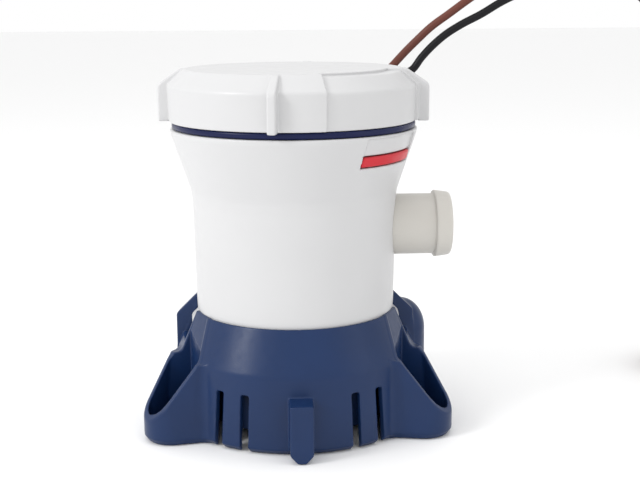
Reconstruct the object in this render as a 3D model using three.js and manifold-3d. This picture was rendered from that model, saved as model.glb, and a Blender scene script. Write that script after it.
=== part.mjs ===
// Cartridge bilge pump: a strainer base, a pump housing with a side outlet, and a
// twist-in motor cartridge that carries the cap, the motor, the impeller and the leads.
// Millimetres, +Z up. The origin is the centre of the base's underside. The base's front
// tab points to -Y and the outlet to +X. An azimuth is measured in degrees from the front,
// -Y, towards +X.

import * as THREE from "three";
import { mergeVertices } from "three/addons/utils/BufferGeometryUtils.js";
import Module from "manifold-3d";

const wasm = await Module();
wasm.setup();
const { Manifold, Mesh } = wasm;

// ---------------------------------------------------------------- driving dimensions

const GAP = 0.3; // between separate pieces that meet
const ROUND = 56; // sides of the large round shells
const SMALL_ROUND = 32; // sides of the small round pieces

// strainer base
const WALL_BOTTOM_R = 39.2;
const WALL_TOP_R = 37.4;
const WALL_TOP_Z = 22.9;
const COLLAR_R = 31.7;
const COLLAR_TOP_Z = 36.1;
const COLLAR_BORE_R = 31.35;
const BASE_WALL = 2.0;
const FOOT_CHAMFER = 1.6;
const SHROUD_R = 38.1;
const SHROUD_SHOULDER_Z = 32.8;
const SHROUD_TOP_Z = 39.2;
const NOTCH_FROM = 78;
const NOTCH_TO = 94;
const NOTCH_FLOOR_Z = 27;
const SLOT_WIDTH = 2.6;
const SLOT_TOP_Z = 17.2;
const FRONT_SLOTS = [25.7, 38.9];
const REAR_SLOT_CENTRE = 121;
const REAR_SLOTS = [-19.8, -6.6, 6.6, 19.8];
const SKIRT_R = 28.8;
const SKIRT_LOW_Z = 3.0;
const SKIRT_WEBS = [0, 90, 150, 210, 270];
const TAB_WIDTH = 6.9;
const TAB_REACH = 46.0;
const TAB_TOP_Z = 17.2;

// mounting ears: along the ear's own axis (s) and across it (t, positive towards the rear)
const EAR_AZIMUTHS = [-62, 62, 180];
const EAR_FOOT = { sideDistance: 24.0, taper: 21.3, reach: 51.5 };
const EAR_HEAD = { sideDistance: 18.6, taper: 16.4, reach: 51.1 };
const EAR_HEAD_Z = 34;
const EAR_ROOT_Z = 24.6;
const EAR_WALL = 1.5;
const EAR_FLOOR = 3.4;
const RIM_AT_S = 48.9;
const RIM_AT_Z = 10.05;
const RIM_SLOPE = 1.41;
const RIM_CROSS_SLOPE = 0.2;
const POCKET_BACK = [[33.9, -2.65], [33.0, 8.0], [38.5, 9.0], [38.5, 7.5]];
const POCKET_FRONT = [41.6, -7.3];
const FLARE_TO_WALL = [[36.4, 13.6], [39.6, 11.0], [42.0, 9.4]];
const SCREW_HOLE_R = 2.5;
const SCREW_REACH = 44.2;

// pump housing
const BODY_LOW_R = 31.0;
const BODY_HIGH_R = 31.6;
const BODY_HIGH_Z = 70;
const FLARE_R = 38.0;
const FLARE_Z = 91.6;
const HOUSING_BOTTOM_Z = 20;
const HOUSING_TOP_Z = 92.6;
const HOUSING_WALL = 2.0;
const INLET_EYE_R = 8.0;

// outlet
const OUTLET_Z = 61.4;
const OUTLET_R = 9.525;
const OUTLET_BORE_R = 7.9;
const OUTLET_TUBE_END = 43.6;
const OUTLET_END = 48.7;
const BARB_R = 10.6;
const BARB_TIP_R = 9.85;

// lock tab
const LOCK_AZIMUTH = 52;
const LOCK_HALF_WIDTH = 12.4;
const LOCK_LOW_Z = 82.9;
const LOCK_HIGH_Z = 86.6;
const SPRING_Z = 84.0;
const SPRING_R = 1.4;
const SPRING_WIRE = 0.5;
const SEAT_R = 27.2;

// cap
const CAP_LOW_Z = 94.8;
const CAP_LOW_R = 38.2;
const CAP_SHOULDER_Z = 105.8;
const CAP_SHOULDER_R = 38.6;
const CAP_DISC_R = 33.2;
const CAP_TOP_Z = 110.6;
const CAP_WALL = 2.2;
const RIB_AZIMUTHS = [-93, -10.6, 83, 170];
const RIB_R = 41.7;
const RIB_WIDTH = 2.8;
const PANEL_FROM = 12.3;
const PANEL_TO = 78;
const PLUG_R = 32.8;
const PLUG_LOW_Z = 87.6;
const LUG_R = 34.3;

// seal ring under the cap
const SEAL_R = 37.4;

// motor cartridge
const CAN_R = 24.0;
const CAN_WALL = 1.5;
const CAN_LOW_Z = 33.0;
const CAN_HIGH_Z = 88.0;
const SHAFT_R = 1.6;
const BUSH_R = 3.9;
const BUSH_POCKET_R = 4.2;
const ROTOR_BORE_R = 1.9;

// leads
const LEAD_DIAMETER = 2.6;
const GLAND_AZIMUTH = 134;
const GLAND_TILT = 35;
const GLAND_R = 38.4;
const GLAND_Z = 100.8;
const GLAND_IN = 3;
const GLAND_OUT = 7.5;
const LEAD_OFFSET = 1.98;
const COIL_R = 14.3;
const COIL_BUNDLE = 8.4;
const COIL_HEIGHT = 7.8;
const TIP_R = 0.8;

// ---------------------------------------------------------------- colours

const NAVY = [0x2b3a66, 0.45, 0.0];
const WHITE = [0xe9eaec, 0.38, 0.0];
const CAP_WHITE = [0xf2f2f1, 0.42, 0.0];
const RING_NAVY = [0x1c2450, 0.25, 0.0];
const OUTLET_GREY = [0xcdc8bf, 0.5, 0.0];
const RED = [0xc8323c, 0.35, 0.0];
const GREY_PLASTIC = [0x8b9096, 0.5, 0.0];
const STEEL = [0x9a9da1, 0.35, 0.9];
const BRIGHT_STEEL = [0xb9bcc0, 0.2, 1.0];
const COPPER = [0xb06a3a, 0.35, 0.9];
const CARBON = [0x2a2a2c, 0.7, 0.0];
const FERRITE = [0x3b3c3f, 0.65, 0.1];
const BRONZE = [0x9c7a3c, 0.4, 0.9];
const RUBBER = [0x1b1b1c, 0.7, 0.0];
const BROWN_PVC = [0x6e463c, 0.5, 0.0];
const BLACK_PVC = [0x1a1a1c, 0.45, 0.0];
const TINNED = [0xc3c4c6, 0.3, 1.0];

// ---------------------------------------------------------------- helpers

const degrees = THREE.MathUtils.degToRad;

/** Point at a radius and an azimuth from the front. */
function around(radius, azimuth) {
  return [radius * Math.sin(degrees(azimuth)), -radius * Math.cos(degrees(azimuth))];
}

/** Closed solid from a three.js geometry, with its shared vertices merged. */
function solid(geometry) {
  const bare = geometry.index ? geometry.toNonIndexed() : geometry.clone();
  bare.deleteAttribute("normal");
  bare.deleteAttribute("uv");
  const welded = mergeVertices(bare, 1e-4);
  const index = Array.from(welded.index.array);
  const points = welded.attributes.position;
  const kept = [];
  let sixVolumes = 0;
  const corner = [new THREE.Vector3(), new THREE.Vector3(), new THREE.Vector3()];
  for (let i = 0; i < index.length; i += 3) {
    const [a, b, c] = index.slice(i, i + 3);
    if (a === b || b === c || a === c) continue;
    kept.push([a, b, c]);
    corner[0].fromBufferAttribute(points, a);
    corner[1].fromBufferAttribute(points, b);
    corner[2].fromBufferAttribute(points, c);
    sixVolumes += corner[0].dot(corner[1].cross(corner[2]));
  }
  const triangles = sixVolumes < 0 ? kept.map(([a, b, c]) => [a, c, b]) : kept;
  return new Manifold(
    new Mesh({
      numProp: 3,
      vertProperties: new Float32Array(points.array),
      triVerts: new Uint32Array(triangles.flat()),
    })
  );
}

/** Solid of revolution about Z from an outline of [radius, height] points. */
function revolve(outline, sides = ROUND) {
  const closed = [...outline, outline[0]].map(([r, z]) => new THREE.Vector2(r, z));
  return solid(new THREE.LatheGeometry(closed, sides).rotateX(Math.PI / 2));
}

/** Cylinder or ring about Z. */
function ring(outer, inner, low, high, sides = SMALL_ROUND) {
  return revolve([[inner, low], [outer, low], [outer, high], [inner, high]], sides);
}

/** Prism of a polygon of [x, y] points between two heights. */
function prism(points, low, high) {
  const shape = new THREE.Shape(points.map(([x, y]) => new THREE.Vector2(x, y)));
  const geometry = new THREE.ExtrudeGeometry(shape, { depth: high - low, bevelEnabled: false });
  return solid(geometry.translate(0, 0, low));
}

/** Prism of an outline of [radius, height] points, standing at an azimuth, of a given thickness. */
function fin(outline, azimuth, thickness) {
  const shape = new THREE.Shape(outline.map(([r, z]) => new THREE.Vector2(r, z)));
  const geometry = new THREE.ExtrudeGeometry(shape, { depth: thickness, bevelEnabled: false });
  geometry.translate(0, 0, -thickness / 2).rotateX(Math.PI / 2);
  return solid(geometry.rotateZ(degrees(azimuth - 90)));
}

/** Wedge about Z between two azimuths, used to keep or cut a sector. */
function wedge(from, to, low, high, radius = 70) {
  const steps = Math.max(2, Math.ceil((to - from) / 20));
  const rim = [];
  for (let i = 0; i <= steps; i++) rim.push(around(radius, from + ((to - from) * i) / steps));
  return prism([[0, 0], ...rim], low, high);
}

/** Block with its centre at an azimuth and its length along the radius. */
function radialBox(azimuth, fromR, toR, width, low, high) {
  const geometry = new THREE.BoxGeometry(toR - fromR, width, high - low);
  geometry.translate((fromR + toR) / 2, 0, (low + high) / 2);
  return solid(geometry.rotateZ(degrees(azimuth - 90)));
}

/** Cylinder with its axis along the radius at an azimuth and a height. */
function radialRod(azimuth, fromR, toR, radius, height, endRadius = radius, sides = SMALL_ROUND) {
  const geometry = new THREE.CylinderGeometry(endRadius, radius, toR - fromR, sides);
  geometry.rotateZ(-Math.PI / 2).translate((fromR + toR) / 2, 0, height);
  return solid(geometry.rotateZ(degrees(azimuth - 90)));
}

/** Cone along the gland's axis, between two distances from where the axis meets the cap's wall. */
function glandRod(from, to, radius, endRadius, sides = 24, offset = 0) {
  const geometry = new THREE.CylinderGeometry(endRadius, radius, to - from, sides);
  geometry.rotateZ(-Math.PI / 2).translate((from + to) / 2, offset, 0);
  geometry.rotateY(-degrees(GLAND_TILT)).translate(GLAND_R, 0, GLAND_Z);
  return solid(geometry.rotateZ(degrees(GLAND_AZIMUTH - 90)));
}

/** Solid between two outlines with the same number of [x, y] points at two heights. */
function loft(lowOutline, highOutline, low, high) {
  const n = lowOutline.length;
  const ends = THREE.ShapeUtils.triangulateShape(
    lowOutline.map(([x, y]) => new THREE.Vector2(x, y)),
    []
  );
  const lowPoints = lowOutline.map(([x, y]) => [x, y, low]);
  const highPoints = highOutline.map(([x, y]) => [x, y, high]);
  const positions = [...lowPoints, ...highPoints];
  const index = [];
  for (const [a, b, c] of ends) index.push(c, b, a, a + n, b + n, c + n);
  for (let i = 0; i < n; i++) {
    const j = (i + 1) % n;
    index.push(i, j, j + n, i, j + n, i + n);
  }
  const geometry = new THREE.BufferGeometry();
  geometry.setAttribute("position", new THREE.Float32BufferAttribute(positions.flat(), 3));
  geometry.setIndex(index);
  return solid(geometry);
}

/** Round tube along a smooth curve through the points. */
function tube(points, diameter, steps, sides) {
  const path = new THREE.CatmullRomCurve3(points.map((p) => new THREE.Vector3(...p)), false, "centripetal");
  const section = [];
  for (let i = 0; i < sides; i++) {
    const angle = (2 * Math.PI * i) / sides;
    section.push(new THREE.Vector2((diameter / 2) * Math.cos(angle), (diameter / 2) * Math.sin(angle)));
  }
  const shape = new THREE.Shape(section);
  return solid(new THREE.ExtrudeGeometry(shape, { steps, extrudePath: path, bevelEnabled: false }));
}

const assembly = new THREE.Group();

/** Adds a finished solid to the assembly as a named mesh. */
function addPiece(name, body, [color, roughness, metalness]) {
  const { vertProperties, triVerts } = body.getMesh();
  const geometry = new THREE.BufferGeometry();
  geometry.setAttribute("position", new THREE.BufferAttribute(new Float32Array(vertProperties), 3));
  geometry.setIndex(Array.from(triVerts));
  geometry.computeVertexNormals();
  const mesh = new THREE.Mesh(geometry, new THREE.MeshStandardMaterial({ color, roughness, metalness }));
  mesh.name = name;
  assembly.add(mesh);
}

// ---------------------------------------------------------------- strainer base

/** Half of an ear's round tip: points [s, t] from the straight side to the axis. */
function tipArc({ sideDistance, taper, reach }, inset, steps) {
  const slope = Math.sin(degrees(taper));
  const centre = (reach - sideDistance) / (1 - slope);
  const radius = reach - centre - inset;
  const points = [];
  for (let i = 0; i <= steps; i++) {
    const angle = degrees(90 - taper) * (1 - i / steps);
    points.push([centre + radius * Math.cos(angle), radius * Math.sin(angle)]);
  }
  return points;
}

/** Outline of an ear that flares out to the wall of the base. */
function earOutline(shape, narrowing, inset = 0) {
  const flare = FLARE_TO_WALL.map(([s, t]) => [s - 0.4 * narrowing, t - narrowing - inset]);
  const half = [[26, 15.5 - inset], ...flare, ...tipArc(shape, inset, 6)];
  const frontHalf = half.slice(0, -1).map(([s, t]) => [s, -t]);
  return [...frontHalf, ...half.reverse()];
}

/** The pocket of an ear, widened by a wall where the wall is wanted instead. */
function pocketOutline(widening = 0) {
  const tip = tipArc(EAR_HEAD, EAR_WALL - widening, 5);
  const front = [...tip].reverse().map(([s, t]) => [s, -t]);
  const [frontS, frontT] = POCKET_FRONT;
  const back = POCKET_BACK.map(([s, t]) => [s - (s < 38 ? widening : 0), t + widening * Math.sign(t)]);
  return [...back, ...tip, ...front.slice(1), [frontS, frontT - widening]];
}

/** Everything above the sloping rim of an ear that lies along +X. */
function aboveRim() {
  const height = (s, t) => RIM_AT_Z + RIM_SLOPE * (RIM_AT_S - s) - RIM_CROSS_SLOPE * t;
  const slab = new THREE.BoxGeometry(40, 60, 60).translate(40, 0, 30);
  const points = slab.attributes.position;
  for (let i = 0; i < points.count; i++) {
    const low = height(points.getX(i), points.getY(i));
    points.setZ(i, points.getZ(i) < 1 ? low : low + 60);
  }
  return solid(slab);
}

/** The body of an ear that lies along +X. */
function earBody() {
  const outer = loft(earOutline(EAR_FOOT, 0), earOutline(EAR_HEAD, 2.2), 0, EAR_HEAD_Z);
  const toe = loft(earOutline(EAR_FOOT, 0, FOOT_CHAMFER * 0.7), earOutline(EAR_FOOT, 0), 0, FOOT_CHAMFER);
  const aboveToe = prism([[20, -30], [60, -30], [60, 30], [20, 30]], FOOT_CHAMFER, EAR_ROOT_Z);
  return outer.intersect(aboveToe).add(toe).subtract(aboveRim());
}

/** A solid made along +X, turned to an azimuth; on the left it is the mirror image. */
function turned(body, azimuth) {
  const handed = azimuth < 0 ? body.mirror([0, 1, 0]) : body;
  return handed.rotate([0, 0, azimuth - 90]);
}

/** The outer shape of the front part of the base, as a full solid. */
function frontOutside() {
  return revolve([
    [0, 0],
    [WALL_BOTTOM_R - FOOT_CHAMFER, 0],
    [WALL_BOTTOM_R, FOOT_CHAMFER],
    [WALL_TOP_R, WALL_TOP_Z],
    [COLLAR_R, COLLAR_TOP_Z],
    [0, COLLAR_TOP_Z],
  ]);
}

/** The outer shape of the rear part of the base, as a full solid. */
function rearOutside() {
  return revolve([
    [0, 0],
    [WALL_BOTTOM_R - FOOT_CHAMFER, 0],
    [WALL_BOTTOM_R, FOOT_CHAMFER],
    [SHROUD_R + 0.2, WALL_TOP_Z],
    [SHROUD_R, SHROUD_SHOULDER_Z],
    [COLLAR_R, SHROUD_TOP_Z],
    [0, SHROUD_TOP_Z],
  ]);
}

function strainerBase() {
  const front = revolve([
    [WALL_BOTTOM_R - BASE_WALL - 0.4, 0],
    [WALL_BOTTOM_R - FOOT_CHAMFER, 0],
    [WALL_BOTTOM_R, FOOT_CHAMFER],
    [WALL_TOP_R, WALL_TOP_Z],
    [COLLAR_R, COLLAR_TOP_Z],
    [COLLAR_BORE_R, COLLAR_TOP_Z],
    [COLLAR_BORE_R, COLLAR_TOP_Z - 2],
    [WALL_TOP_R - BASE_WALL, WALL_TOP_Z],
  ]);
  const rear = revolve([
    [WALL_BOTTOM_R - BASE_WALL - 0.4, 0],
    [WALL_BOTTOM_R - FOOT_CHAMFER, 0],
    [WALL_BOTTOM_R, FOOT_CHAMFER],
    [SHROUD_R + 0.2, WALL_TOP_Z],
    [SHROUD_R, SHROUD_SHOULDER_Z],
    [COLLAR_R, SHROUD_TOP_Z],
    [COLLAR_BORE_R, SHROUD_TOP_Z],
    [COLLAR_BORE_R, SHROUD_TOP_Z - 2.2],
    [SHROUD_R - BASE_WALL, SHROUD_SHOULDER_Z - 1],
    [SHROUD_R - BASE_WALL, WALL_TOP_Z],
  ]);
  const overlap = 0.4;
  const rearSector = wedge(NOTCH_TO, 360 - NOTCH_TO, -1, 60);
  const frontCut = wedge(NOTCH_TO + overlap, 360 - NOTCH_TO - overlap, -1, 60);
  let base = front.subtract(frontCut).add(rear.intersect(rearSector));
  const endWall = rearOutside().intersect(ring(SHROUD_R + 1, 33.3, 20, SHROUD_TOP_Z, ROUND));
  for (const side of [-1, 1]) {
    const thickness = Math.atan(BASE_WALL / SHROUD_R) / degrees(1);
    const from = Math.min(side * NOTCH_TO, side * (NOTCH_TO + thickness));
    base = base.add(endWall.intersect(wedge(from, from + thickness, -1, 60)));
    const notch = wedge(
      Math.min(side * NOTCH_FROM, side * NOTCH_TO),
      Math.max(side * NOTCH_FROM, side * NOTCH_TO),
      NOTCH_FLOOR_Z,
      60
    );
    base = base.subtract(notch);
  }

  // a rounded clip housing stands beside the right-hand notch
  const clip = revolve([[0, 0], [8, 0], [8, 25], [7.4, 29], [5.6, 32.2], [3, 34.2], [0, 34.9]], 28);
  const clipHollow = revolve([[0, -1], [6.2, -1], [6.2, 25], [4.4, 30.4], [0, 32.8]], 28);
  const [clipX, clipY] = around(36.0, 105.5);
  const core = ring(COLLAR_BORE_R, 0, -1, 60, ROUND).add(ring(35.2, 0, -1, 31, ROUND));
  base = base.add(clip.translate([clipX, clipY, 0]).subtract(core));
  const hollow = clipHollow.translate([clipX, clipY, 0]).subtract(ring(WALL_TOP_R, 0, -2, 60, ROUND));
  base = base.subtract(hollow);

  // the ears, each a pocket that reaches in through the cone
  const chamber = ring(WALL_TOP_R - BASE_WALL, 0, -1, 60, ROUND);
  const pocket = prism(pocketOutline(), EAR_FLOOR, 60);
  const screwHole = ring(SCREW_HOLE_R, 0, -1, 8, 20).translate([SCREW_REACH, 0, 0]);
  for (const azimuth of EAR_AZIMUTHS) {
    const body = turned(earBody(), azimuth);
    const outside = azimuth === 180 ? rearOutside() : frontOutside();
    const lining = turned(prism(pocketOutline(EAR_WALL), 0, 60), azimuth).intersect(outside.add(body));
    base = base.add(body.subtract(chamber)).add(lining);
    base = base.subtract(turned(pocket, azimuth)).subtract(turned(screwHole, azimuth));
  }

  // the inner skirt under the pump housing, held by webs
  base = base.add(ring(SKIRT_R, SKIRT_R - 1.4, SKIRT_LOW_Z, HOUSING_BOTTOM_Z - GAP, 48));
  for (const azimuth of SKIRT_WEBS) {
    const web = radialBox(azimuth, SKIRT_R - 0.7, WALL_TOP_R - 1, 1.6, 11, HOUSING_BOTTOM_Z - GAP);
    base = base.add(web);
  }

  // the front tab
  const half = TAB_WIDTH / 2;
  const tabFace = [
    [-half + 2.2, 0],
    [half - 2.2, 0],
    [half, 2.4],
    [half, TAB_TOP_Z],
    [-half, TAB_TOP_Z],
    [-half, 2.4],
  ];
  const tabShape = new THREE.Shape(tabFace.map(([x, z]) => new THREE.Vector2(x, z)));
  const tabDepth = TAB_REACH - 37;
  const tabGeometry = new THREE.ExtrudeGeometry(tabShape, { depth: tabDepth, bevelEnabled: false });
  tabGeometry.rotateX(Math.PI / 2).translate(0, -37, 0);
  base = base.add(solid(tabGeometry));

  // the strainer slots, open at the bottom
  const slotAzimuths = [];
  for (const side of [-1, 1]) {
    for (const a of FRONT_SLOTS) slotAzimuths.push(side * a);
    for (const a of REAR_SLOTS) slotAzimuths.push(side * (REAR_SLOT_CENTRE + a));
  }
  for (const azimuth of slotAzimuths) {
    base = base.subtract(radialBox(azimuth, 33, 44, SLOT_WIDTH, -1, SLOT_TOP_Z));
  }
  return base;
}

// ---------------------------------------------------------------- pump housing

const flareSlope = (FLARE_R - 33.3) / (FLARE_Z - 77.8);
const flareAt = (z) => FLARE_R - (FLARE_Z - z) * flareSlope;

function pumpHousing() {
  const w = HOUSING_WALL;
  let body = revolve([
    [INLET_EYE_R, HOUSING_BOTTOM_Z],
    [29.0, HOUSING_BOTTOM_Z],
    [30.5, HOUSING_BOTTOM_Z + 1.5],
    [30.8, 35.5],
    [BODY_LOW_R, 37.5],
    [BODY_HIGH_R, BODY_HIGH_Z],
    [31.85, 72.5],
    [32.5, 75.2],
    [33.3, 77.8],
    [FLARE_R, FLARE_Z],
    [FLARE_R, HOUSING_TOP_Z],
    [33.2, HOUSING_TOP_Z],
    [33.2, HOUSING_TOP_Z - w],
    [flareAt(HOUSING_TOP_Z - w) - w - 0.2, HOUSING_TOP_Z - w],
    [33.3 - w, 77.2],
    [BODY_HIGH_R - w, BODY_HIGH_Z],
    [28.8, 24],
    [28.0, HOUSING_BOTTOM_Z + w],
    [INLET_EYE_R, HOUSING_BOTTOM_Z + w],
  ]);

  // three gaps in the inner flange let the bayonet lugs of the cartridge through
  for (const azimuth of [0, 120, 240]) {
    const gap = wedge(azimuth + 30 - 15, azimuth + 30 + 15, 90, 93, 60);
    const flange = ring(flareAt(HOUSING_TOP_Z - w) - w - 0.3, 33.0, 90, 93, ROUND);
    body = body.subtract(gap.intersect(flange));
  }

  // the outlet opening, with a flat boss inside
  body = body.subtract(radialRod(90, 20, 40, OUTLET_R + GAP, OUTLET_Z));

  // the window of the lock tab and the shallow recess above it
  const windowWidth = 2 * (LOCK_HALF_WIDTH + GAP);
  body = body.subtract(radialBox(LOCK_AZIMUTH, 20, 60, windowWidth, LOCK_LOW_Z - GAP, LOCK_HIGH_Z + GAP));
  const recessSkin = revolve([
    [flareAt(LOCK_HIGH_Z) - 0.7, LOCK_HIGH_Z],
    [50, LOCK_HIGH_Z],
    [50, 91.9],
    [flareAt(91.9) - 0.7, 91.9],
  ]);
  body = body.subtract(recessSkin.intersect(radialBox(LOCK_AZIMUTH, 20, 60, windowWidth, 80, 92.2)));

  // the seat of the lock tab's spring
  const seat = radialBox(LOCK_AZIMUTH, SEAT_R - 1.2, 32.4, 5, 79, 80.5).add(
    radialBox(LOCK_AZIMUTH, SEAT_R - 1.2, SEAT_R, 5, 79, 85.6)
  );
  body = body.add(seat);

  // the snap lugs that hold the strainer base
  const lugOutline = [[30.2, 27.4], [32.2, 28.2], [32.8, 32.4], [32.8, 34.6], [32.2, 35.6], [30.2, 35.8]];
  for (const side of [-1, 1]) body = body.add(fin(lugOutline, side * 86, 6));
  return body;
}

function outletNozzle() {
  const inside = ring(BODY_HIGH_R - HOUSING_WALL - 0.75, 0, 40, 80, ROUND);
  const flange = radialRod(90, 25.2, 32, 12.4, OUTLET_Z).intersect(inside);
  const tubeBody = radialRod(90, 25.2, OUTLET_TUBE_END + 0.5, OUTLET_R, OUTLET_Z);
  const barb = radialRod(90, OUTLET_TUBE_END, OUTLET_END, BARB_R, OUTLET_Z, BARB_TIP_R);
  const bore = radialRod(90, 20, 60, OUTLET_BORE_R, OUTLET_Z);
  return tubeBody.add(flange).add(barb).subtract(bore);
}

function lockTab() {
  const body = revolve([
    [33.2, LOCK_LOW_Z],
    [flareAt(LOCK_LOW_Z) + 0.1, LOCK_LOW_Z],
    [flareAt(LOCK_HIGH_Z) + 0.1, LOCK_HIGH_Z - 0.9],
    [flareAt(LOCK_HIGH_Z) - 0.7, LOCK_HIGH_Z],
    [33.2, LOCK_HIGH_Z],
  ]).intersect(radialBox(LOCK_AZIMUTH, 20, 60, 2 * LOCK_HALF_WIDTH, 80, 90));
  const post = radialRod(LOCK_AZIMUTH, 29.5, 33.6, 0.85, SPRING_Z, 0.85, 12);
  return body.add(post);
}

function lockSpring() {
  const turns = 4;
  const perTurn = 10;
  const from = SEAT_R + GAP + SPRING_WIRE / 2;
  const to = 33.2 - GAP - SPRING_WIRE / 2;
  const [ex, ey] = around(1, LOCK_AZIMUTH);
  const points = [];
  for (let i = 0; i <= turns * perTurn; i++) {
    const angle = (2 * Math.PI * i) / perTurn;
    const along = from + ((to - from) * i) / (turns * perTurn);
    const across = SPRING_R * Math.cos(angle);
    const height = SPRING_Z + SPRING_R * Math.sin(angle);
    points.push([along * ex - across * ey, along * ey + across * ex, height]);
  }
  return tube(points, SPRING_WIRE, turns * perTurn, 6);
}

// ---------------------------------------------------------------- cap and seal

function twistCap() {
  const w = CAP_WALL;
  let cap = revolve([
    [0, CAP_TOP_Z],
    [CAP_DISC_R - 0.9, CAP_TOP_Z],
    [CAP_DISC_R, CAP_TOP_Z - 0.35],
    [CAP_SHOULDER_R, CAP_SHOULDER_Z],
    [CAP_LOW_R, CAP_LOW_Z],
    [CAP_LOW_R - w, CAP_LOW_Z],
    [CAP_SHOULDER_R - w, CAP_SHOULDER_Z - 1],
    [PLUG_R, CAP_TOP_Z - w - 1.4],
    [PLUG_R, PLUG_LOW_Z],
    [PLUG_R - 2, PLUG_LOW_Z],
    [PLUG_R - 2, CAP_TOP_Z - w],
    [0, CAP_TOP_Z - w],
  ]);

  // a lowered panel on the wall and the shoulder
  const panelSkin = revolve([
    [CAP_LOW_R - 0.9, CAP_LOW_Z - 1],
    [50, CAP_LOW_Z - 1],
    [50, CAP_TOP_Z + 1],
    [28.5, CAP_TOP_Z + 1],
    [28.5, CAP_TOP_Z - 0.25],
    [CAP_SHOULDER_R - 0.9, CAP_SHOULDER_Z - 1.1],
  ]);
  cap = cap.subtract(panelSkin.intersect(wedge(PANEL_FROM, PANEL_TO, 90, 115)));

  const ribOutline = [
    [36.6, CAP_LOW_Z],
    [CAP_LOW_R + 0.2, CAP_LOW_Z],
    [CAP_LOW_R + 0.2, CAP_LOW_Z - 0.3],
    [RIB_R, CAP_LOW_Z - 0.3],
    [RIB_R - 0.1, CAP_SHOULDER_Z],
    [34.6, CAP_TOP_Z],
    [32.4, CAP_TOP_Z],
    [32.4, CAP_TOP_Z - 1.5],
    [36.6, CAP_SHOULDER_Z - 1],
  ];
  for (const azimuth of RIB_AZIMUTHS) cap = cap.add(fin(ribOutline, azimuth, RIB_WIDTH));

  // bayonet lugs under the housing's inner flange
  const lugRing = ring(LUG_R, PLUG_R - 1, 87.8, 90.2, ROUND);
  for (const azimuth of [0, 120, 240]) {
    cap = cap.add(lugRing.intersect(wedge(azimuth - 12, azimuth + 12, 80, 95)));
  }

  // the opening for the lead gland
  cap = cap.add(glandRod(-3, 4.4, 6.4, 5.7)).subtract(glandRod(-14, 20, 4.4, 4.4));
  return cap.subtract(ring(PLUG_R - 2, 0, 90, CAP_TOP_Z - w, ROUND));
}

function leadGland() {
  let gland = glandRod(-GLAND_IN, GLAND_OUT, 4.1, 3.7).add(glandRod(4.7, 5.9, 5.4, 5.0));
  for (const side of [-1, 1]) {
    const holeR = LEAD_DIAMETER / 2 + GAP;
    gland = gland.subtract(glandRod(-14, 20, holeR, holeR, 12, side * LEAD_OFFSET));
  }
  return gland;
}

// ---------------------------------------------------------------- motor cartridge

function motorHousing() {
  const w = CAN_WALL;
  return revolve(
    [
      [BUSH_POCKET_R, CAN_LOW_Z],
      [CAN_R - 1, CAN_LOW_Z],
      [CAN_R, CAN_LOW_Z + 1],
      [CAN_R, CAN_HIGH_Z - 2],
      [30.4, CAN_HIGH_Z - 2],
      [30.4, CAN_HIGH_Z],
      [CAN_R - w, CAN_HIGH_Z],
      [CAN_R - w, CAN_LOW_Z + 2],
      [6.2, CAN_LOW_Z + 2],
      [6.2, 39.6],
      [BUSH_POCKET_R, 39.6],
    ],
    48
  );
}

function magnet(side) {
  const arc = ring(20.1, 17.2, 42, 74, 40);
  return arc.intersect(wedge(side * 90 - 58, side * 90 + 58, 30, 90));
}

function armatureCore() {
  let core = ring(16.4, ROTOR_BORE_R, 46.4, 70.4, 40);
  for (let i = 0; i < 5; i++) {
    core = core.subtract(radialBox(36 + 72 * i, 7.5, 20, 4.4, 40, 80));
  }
  return core;
}

function armatureWinding() {
  let winding = ring(14.2, 6.4, 41.4, 46.1, 30).add(ring(14.2, 6.4, 70.7, 74.8, 30));
  for (let i = 0; i < 5; i++) {
    winding = winding.add(radialBox(36 + 72 * i, 8.0, 14.0, 3.8, 43, 73));
  }
  return winding;
}

function impeller() {
  let wheel = ring(24, ROTOR_BORE_R, 30.2, 31.8, 48).add(ring(4.4, ROTOR_BORE_R, 23.6, 32.4, 24));
  const vanes = 5;
  for (let k = 0; k < vanes; k++) {
    const outerFace = [];
    const innerFace = [];
    for (let i = 0; i <= 8; i++) {
      const share = i / 8;
      const radius = 6.5 + 16.8 * share;
      const sweep = (360 / vanes) * k - 62 * share;
      outerFace.push(around(radius, sweep));
      innerFace.push(around(radius, sweep + 100 / radius));
    }
    wheel = wheel.add(prism([...outerFace, ...innerFace.reverse()], 23.6, 30.6));
  }
  return wheel;
}

function endBell() {
  return revolve(
    [
      [BUSH_POCKET_R, 84],
      [22.2, 84],
      [22.2, 86.2],
      [6.4, 86.2],
      [6.4, 89.4],
      [BUSH_POCKET_R, 89.4],
    ],
    40
  );
}

// ---------------------------------------------------------------- leads

/** Point on a lead's straight stretch through the gland. */
function inGland(side, along) {
  const [outX, outY] = around(1, GLAND_AZIMUTH);
  const radius = GLAND_R + along * Math.cos(degrees(GLAND_TILT));
  const across = side * LEAD_OFFSET;
  const height = GLAND_Z + along * Math.sin(degrees(GLAND_TILT));
  return [radius * outX - across * outY, radius * outY + across * outX, height];
}

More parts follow.
